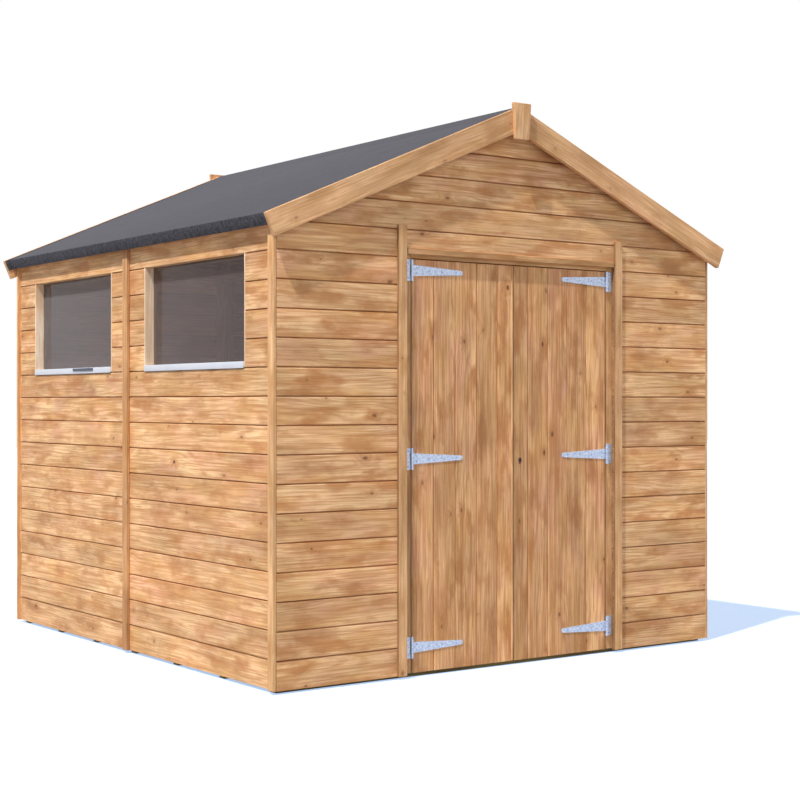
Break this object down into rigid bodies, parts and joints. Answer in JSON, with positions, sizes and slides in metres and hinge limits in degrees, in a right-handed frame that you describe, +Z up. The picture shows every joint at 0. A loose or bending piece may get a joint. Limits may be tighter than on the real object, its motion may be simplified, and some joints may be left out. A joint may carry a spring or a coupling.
{
  "type": "wooden garden shed",
  "caption": "Apex-roofed timber garden shed with horizontal boards, a hinged double door, side windows and a felt roof.",
  "frame": {"origin": "at ground level under the middle of the shed", "axes": "+Z up, -Y is the side with the doors, +X to the right seen from outside the doors"},
  "size_m": [2.483, 2.607, 2.3652],
  "materials": {
    "cladding_timber": "planed softwood boards, untreated",
    "frame_timber": "planed softwood framing",
    "bearer_timber": "sawn softwood, pressure treated",
    "floor_timber": "planed softwood floor boards",
    "roof_timber": "planed softwood roof boards",
    "trim_timber": "planed softwood trim",
    "door_timber": "planed softwood door boards",
    "pane_glass": "clear glazing sheet",
    "sill_paint": "white coated strip",
    "catch_plastic": "dark moulded grip",
    "roof_felt": "mineral-surfaced bitumen felt",
    "zinc_steel": "bright zinc-plated steel",
    "lock_steel": "black enamelled rim lock case"
  },
  "bodies": {
    "shed": {"floor_bearers": "bearer_timber", "floor_deck": "floor_timber", "front_cladding_left": "cladding_timber", "front_cladding_right": "cladding_timber", "front_gable_cladding": "cladding_timber", "door_head_board": "cladding_timber", "rear_cladding": "cladding_timber", "rear_gable_cladding": "cladding_timber", "left_front_cladding": "cladding_timber", "left_rear_cladding": "cladding_timber", "right_cladding": "cladding_timber", "door_posts": "frame_timber", "front_frame_posts": "frame_timber", "front_frame_rails": "frame_timber", "rear_frame_posts": "frame_timber", "rear_frame_rails": "frame_timber", "side_frame_posts": "frame_timber", "side_frame_rails": "frame_timber", "gable_rafters": "frame_timber", "gable_posts": "frame_timber", "roof_battens": "frame_timber", "truss_rafters": "frame_timber", "truss_tie": "frame_timber", "roof_edge_battens": "frame_timber", "roof_boards_left": "roof_timber", "roof_boards_right": "roof_timber", "door_cover_strips": "trim_timber", "door_head_strip": "trim_timber", "corner_strips": "trim_timber", "joint_cover_strips": "trim_timber", "front_bargeboards": "trim_timber", "rear_bargeboards": "trim_timber", "finials": "trim_timber", "window_level_beads": "trim_timber", "window_upright_beads": "trim_timber", "window_linings": "trim_timber", "window_panes": "pane_glass", "window_sills": "sill_paint", "window_catch": "catch_plastic", "roof_felt_left": "roof_felt", "roof_felt_right": "roof_felt", "ridge_felt_strip": "roof_felt", "hinge_plates": "zinc_steel", "hinge_pins": "zinc_steel"},
    "left_door": {"left_door_boards": "door_timber", "left_door_ledges": "door_timber", "left_door_braces": "door_timber", "left_door_straps": "zinc_steel"},
    "right_door": {"right_door_boards": "door_timber", "right_door_ledges": "door_timber", "right_door_braces": "door_timber", "right_door_straps": "zinc_steel", "door_lock": "lock_steel"}
  },
  "joints": [
    {"name": "left_door_hinge", "type": "hinge", "parent": "shed", "child": "left_door", "pos_m": [-0.5235, -1.2315, 0.8825], "axis": [0, 0, -1], "range_deg": [0, 150]},
    {"name": "right_door_hinge", "type": "hinge", "parent": "shed", "child": "right_door", "pos_m": [0.5455, -1.2315, 0.8825], "axis": [0, 0, 1], "range_deg": [0, 150]}
  ]
}
